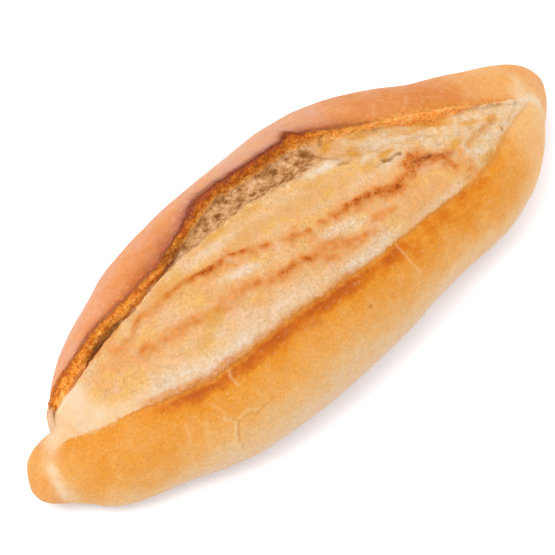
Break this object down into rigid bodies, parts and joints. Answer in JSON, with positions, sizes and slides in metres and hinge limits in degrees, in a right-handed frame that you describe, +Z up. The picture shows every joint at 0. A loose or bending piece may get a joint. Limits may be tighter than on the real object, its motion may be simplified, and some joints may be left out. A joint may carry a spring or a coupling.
{
  "type": "turkish bread loaf",
  "caption": "Whole baked loaf of white bread, long with pointed ends, slashed lengthwise on top, with a raised flap of crust over a burst pale surface; lies on its flat underside.",
  "frame": {"origin": "middle of the loaf's box, on the plane of its flat underside", "axes": "+X along the loaf's length, +Y to the side where the flap of crust stands up, +Z up out of the slashed top"},
  "size_m": [0.3, 0.1124, 0.0666],
  "materials": {
    "crust": "matt baked bread crust, golden orange going to pale beige low down, with a pale granular burst along the top"
  },
  "bodies": {
    "root": {"loaf": "crust"}
  },
  "joints": []
}
